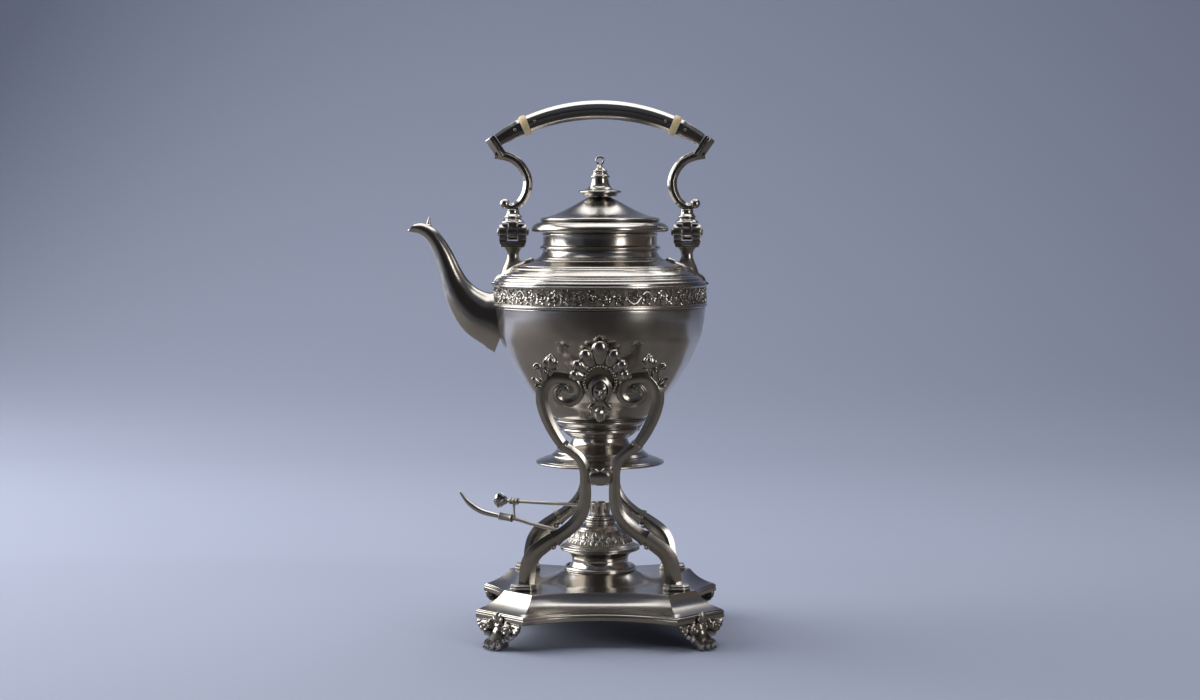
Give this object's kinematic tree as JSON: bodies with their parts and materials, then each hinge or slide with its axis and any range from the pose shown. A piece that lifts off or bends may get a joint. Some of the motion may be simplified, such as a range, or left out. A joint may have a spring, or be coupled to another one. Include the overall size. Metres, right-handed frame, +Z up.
{
  "type": "spirit kettle on stand",
  "caption": "Silver hot water kettle with a swan-neck spout and a bail handle, tilting on trunnions between two lyre frames over a spirit lamp, on a canted square plinth with lion-paw feet.",
  "frame": {"origin": "under the middle of the whole object's box, on the surface that the feet stand on", "axes": "+Z up, -X towards the spout, +Y away from the viewer of the front frame"},
  "size_m": [0.2354, 0.184, 0.4033],
  "materials": {
    "silver": "polished, with patina",
    "dark_silver": "oxidised",
    "steel": "plain",
    "ivory": "polished ivory",
    "cotton": "woven wick"
  },
  "bodies": {
    "stand": {"base_plinth": "silver", "lamp_seat_ring": "silver", "paw_foot_front_left": "silver", "paw_foot_front_right": "silver", "paw_foot_rear_left": "silver", "paw_foot_rear_right": "silver", "front_left_strap": "silver", "front_right_strap": "silver", "front_left_collar": "silver", "front_right_collar": "silver", "front_neck_clasp": "silver", "front_mask_palmette": "silver", "front_pendant_drop": "silver", "front_trunnion_bearing": "dark_silver", "rear_left_strap": "silver", "rear_right_strap": "silver", "rear_left_collar": "silver", "rear_right_collar": "silver", "rear_neck_clasp": "silver", "rear_mask_palmette": "silver", "rear_pendant_drop": "silver", "rear_trunnion_bearing": "dark_silver"},
    "kettle": {"kettle_bowl": "silver", "frieze_band": "dark_silver", "kettle_shoulder": "silver", "kettle_foot": "silver", "spout": "silver", "front_trunnion": "silver", "rear_trunnion": "silver", "left_bail_bracket": "silver", "left_hinge_pin": "steel", "right_bail_bracket": "silver", "right_hinge_pin": "steel"},
    "bail": {"handle_grip": "silver", "left_scroll_arm": "silver", "left_socket": "silver", "left_insulator": "ivory", "left_grip_pin": "dark_silver", "left_socket_pin": "dark_silver", "right_scroll_arm": "silver", "right_socket": "silver", "right_insulator": "ivory", "right_grip_pin": "dark_silver", "right_socket_pin": "dark_silver"},
    "lid": {"lid": "silver", "lid_finial": "silver", "lid_nut": "steel"},
    "lamp": {"lamp_reservoir": "silver", "lamp_cover": "silver", "burner_tube": "dark_silver", "wick_tube": "dark_silver", "wick": "cotton", "lamp_handle": "silver", "lamp_handle_ferrule": "dark_silver", "lamp_handle_stem": "silver", "regulator_strut": "dark_silver"},
    "regulator": {"regulator_rod": "dark_silver", "regulator_knob": "silver"},
    "sleeve": {"flame_sleeve": "dark_silver"}
  },
  "joints": [
    {"name": "kettle_tilt", "type": "hinge", "parent": "stand", "child": "kettle", "pos_m": [0.02566, 0, 0.193], "axis": [0, -1, 0], "range_deg": [0, 40]},
    {"name": "bail_swing", "type": "hinge", "parent": "kettle", "child": "bail", "pos_m": [0.02566, 0, 0.3046], "axis": [1, 0, 0], "range_deg": [-80, 80]},
    {"name": "lid_lift", "type": "slide", "parent": "kettle", "child": "lid", "axis": [0, 0, 1], "range_m": [0, 0.022]},
    {"name": "lamp_lift", "type": "slide", "parent": "stand", "child": "lamp", "axis": [0, 0, 1], "range_m": [0, 0.01]},
    {"name": "regulator_turn", "type": "hinge", "parent": "lamp", "child": "regulator", "pos_m": [0.02566, 0, 0.09518], "axis": [-0.9171, 0.3987, 0], "range_deg": [0, 180]},
    {"name": "sleeve_rise", "type": "slide", "parent": "lamp", "child": "sleeve", "axis": [0, 0, 1], "range_m": [0, 0.003]}
  ],
  "couplings": [
    {"joint": "sleeve_rise", "follows": "regulator_turn", "m_per_rad": 0.00095}
  ]
}
